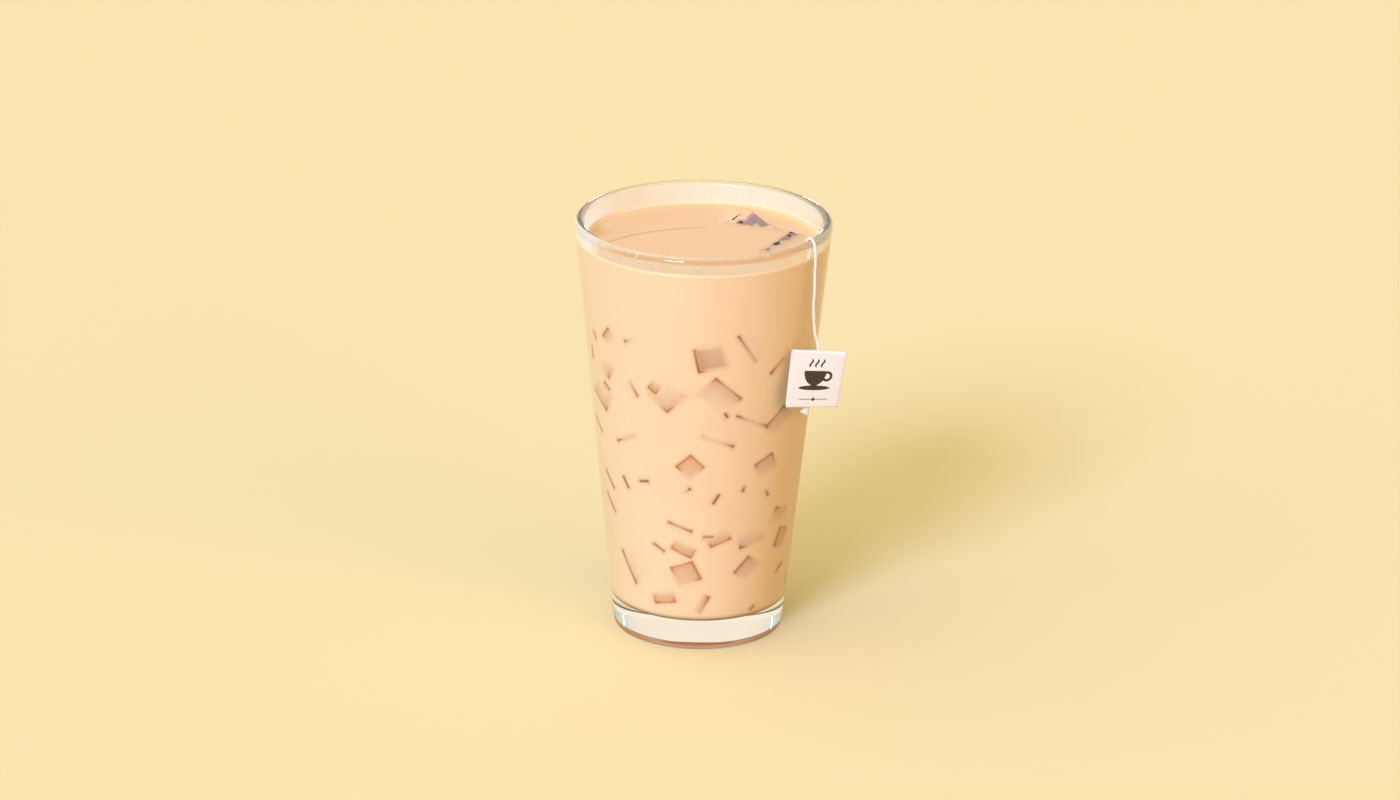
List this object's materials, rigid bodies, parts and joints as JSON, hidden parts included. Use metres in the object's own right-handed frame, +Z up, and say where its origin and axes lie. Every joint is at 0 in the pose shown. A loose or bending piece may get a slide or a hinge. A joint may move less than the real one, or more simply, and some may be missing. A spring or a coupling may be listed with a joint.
{
  "type": "iced milk tea in a pint glass",
  "caption": "Iced milk tea in a conical clear pint glass, with ice showing at the surface and wall and a paper tag hanging on its string over the rim.",
  "frame": {"origin": "centre of the glass's foot, on the surface that it stands on", "axes": "+Z up along the glass's axis, -Y towards the front, with the string over the rim at +X, a little to the front"},
  "size_m": [0.0946, 0.0892, 0.1532],
  "materials": {
    "glass": "clear",
    "tea": "satin",
    "ice": "clear",
    "string": "matte",
    "paper": "matte"
  },
  "bodies": {
    "root": {"tumbler": "glass", "milk_tea": "tea", "ice_cube_back": "ice", "ice_cube_side": "ice", "tag_string": "string", "paper_tag": "paper"}
  },
  "joints": []
}
